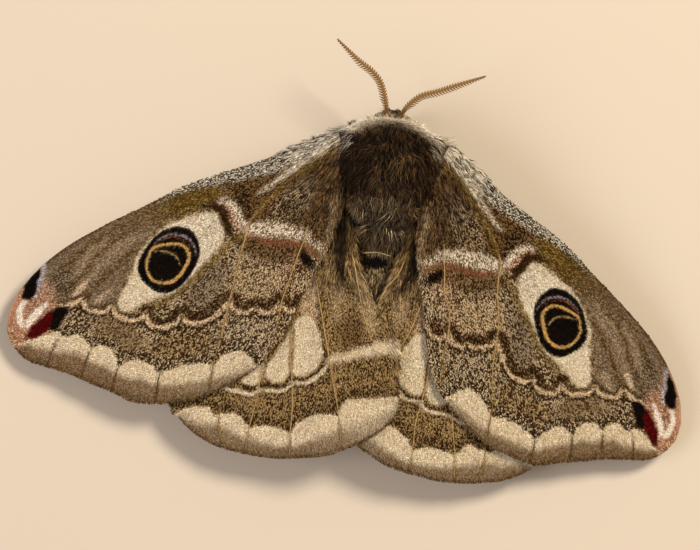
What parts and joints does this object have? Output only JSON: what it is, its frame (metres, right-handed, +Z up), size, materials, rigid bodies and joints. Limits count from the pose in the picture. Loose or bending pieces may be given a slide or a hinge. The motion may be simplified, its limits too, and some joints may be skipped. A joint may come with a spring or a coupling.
{
  "type": "moth",
  "caption": "Life-size still model of a resting female emperor moth with spread, eye-spotted wings, furry body and toothed antennae.",
  "frame": {"origin": "middle of the bounding box on the floor that the feet and belly rest on", "axes": "+Z up, head towards +Y, the moth's own right side towards +X"},
  "size_m": [0.068, 0.0422, 0.0105],
  "materials": {
    "body_fur": "long soft dark brown hair with a grey-white collar, matt",
    "wing_scales": "fine brown, cream and black wing scales with eyespots and a white marginal band, matt",
    "eye": "dark faceted compound eye, satin gloss",
    "antenna": "orange-brown horny shaft with short teeth, satin",
    "leg_fur": "brown-grey hair over dark horny legs, matt"
  },
  "bodies": {
    "root": {"abdomen": "body_fur", "antenna_left": "antenna", "antenna_right": "antenna", "eye_left": "eye", "eye_right": "eye", "forewing_left": "wing_scales", "forewing_right": "wing_scales", "head": "body_fur", "hindwing_left": "wing_scales", "hindwing_right": "wing_scales", "leg_fore_left": "leg_fur", "leg_fore_right": "leg_fur", "leg_hind_left": "leg_fur", "leg_hind_right": "leg_fur", "leg_middle_left": "leg_fur", "leg_middle_right": "leg_fur", "palp_left": "body_fur", "palp_right": "body_fur", "thorax": "body_fur"}
  },
  "joints": []
}
